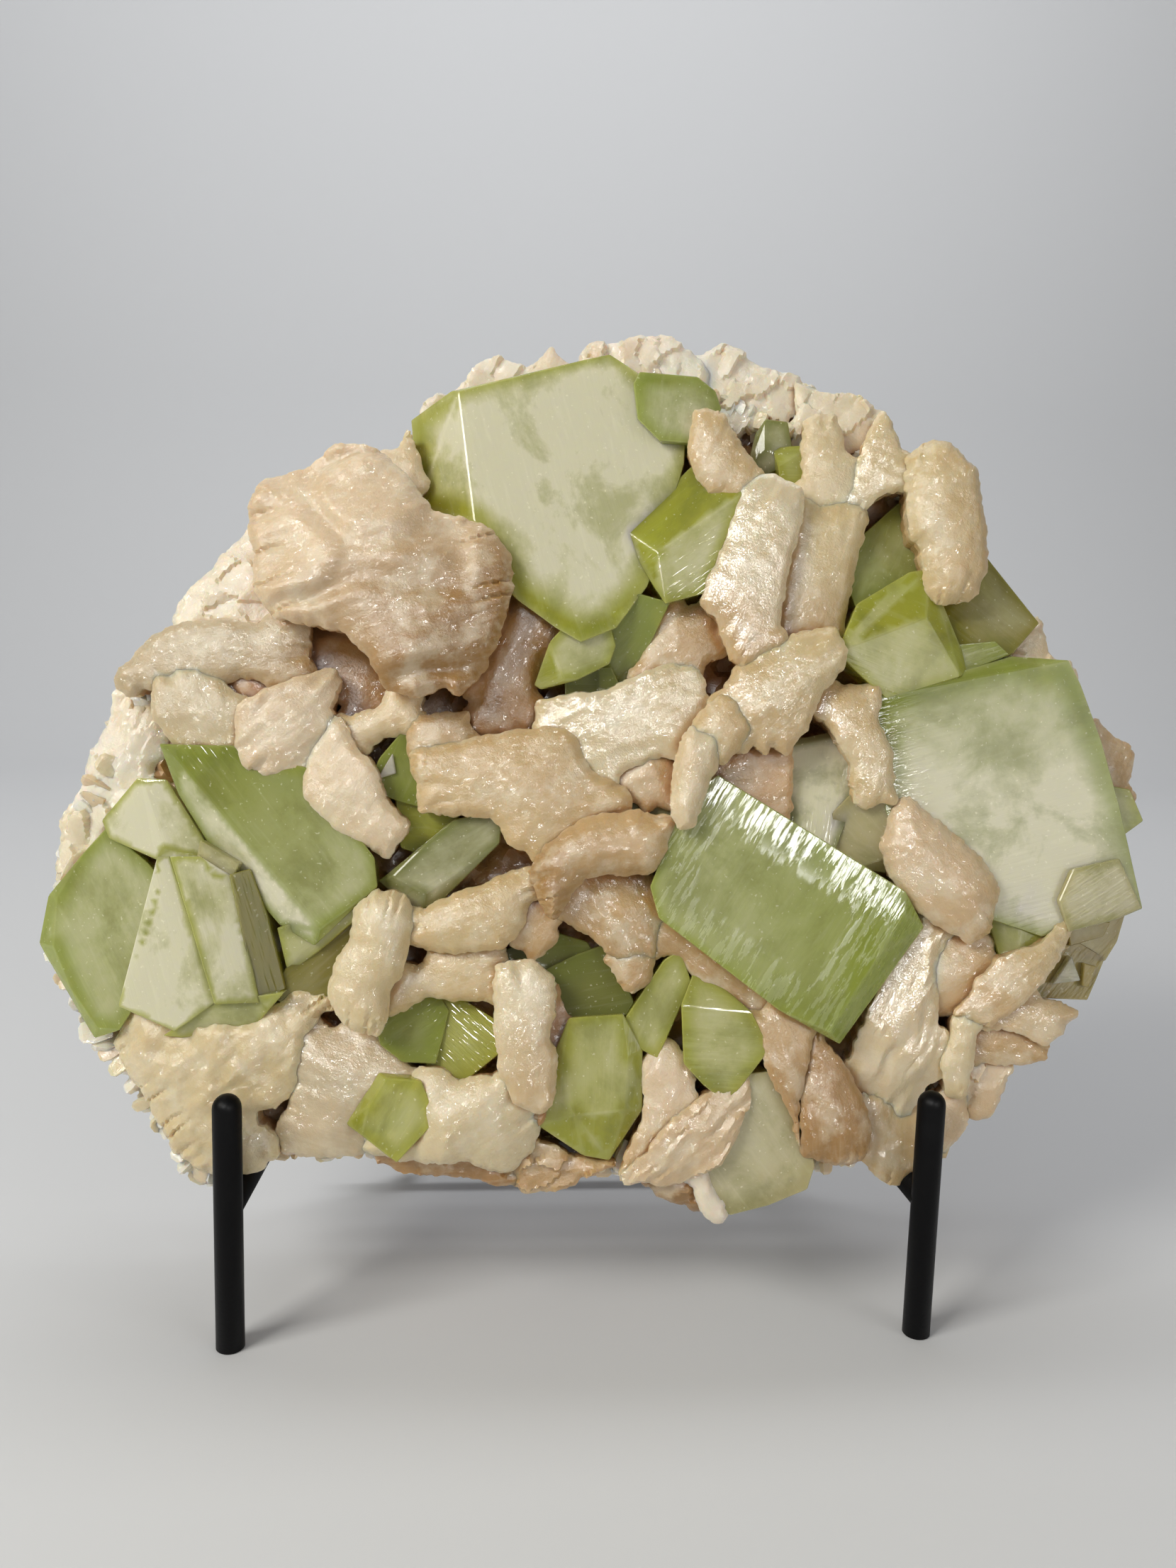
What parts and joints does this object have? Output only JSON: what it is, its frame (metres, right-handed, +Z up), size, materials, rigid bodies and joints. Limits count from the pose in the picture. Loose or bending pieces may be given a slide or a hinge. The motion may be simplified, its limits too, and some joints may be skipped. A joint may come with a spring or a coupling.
{
  "type": "apophyllite with stilbite",
  "caption": "Mineral specimen of green-grey apophyllite crystals and cream to peach stilbite blades on dark basalt, leaning on a black rod display stand.",
  "frame": {"origin": "on the floor under the middle of the whole object", "axes": "+Z up, -Y towards the front with the crystal face, +X to the right seen from the front"},
  "size_m": [0.3344, 0.1133, 0.2978],
  "materials": {
    "apophyllite": "clear to cloudy, glossy",
    "stilbite": "pearly, partly satin and partly sparkling",
    "basalt": "matt",
    "stand": "satin black"
  },
  "bodies": {
    "root": {"matrix": "basalt", "stilbite": "stilbite", "apophyllite_top": "apophyllite", "apophyllite_rim_prism": "apophyllite", "apophyllite_upper_block": "apophyllite", "apophyllite_right_block": "apophyllite", "apophyllite_centre": "apophyllite", "apophyllite_shaded": "apophyllite", "apophyllite_inner": "apophyllite", "apophyllite_left": "apophyllite", "apophyllite_broken": "apophyllite", "apophyllite_wedge": "apophyllite", "apophyllite_column": "apophyllite", "apophyllite_lower_block": "apophyllite", "apophyllite_foot": "apophyllite", "apophyllite_stepped": "apophyllite", "post_left": "stand", "post_right": "stand", "arm_left": "stand", "arm_right": "stand", "upright_left": "stand", "upright_right": "stand", "leg_left": "stand", "leg_right": "stand", "cross_bar_high": "stand", "cross_bar_low": "stand"}
  },
  "joints": []
}
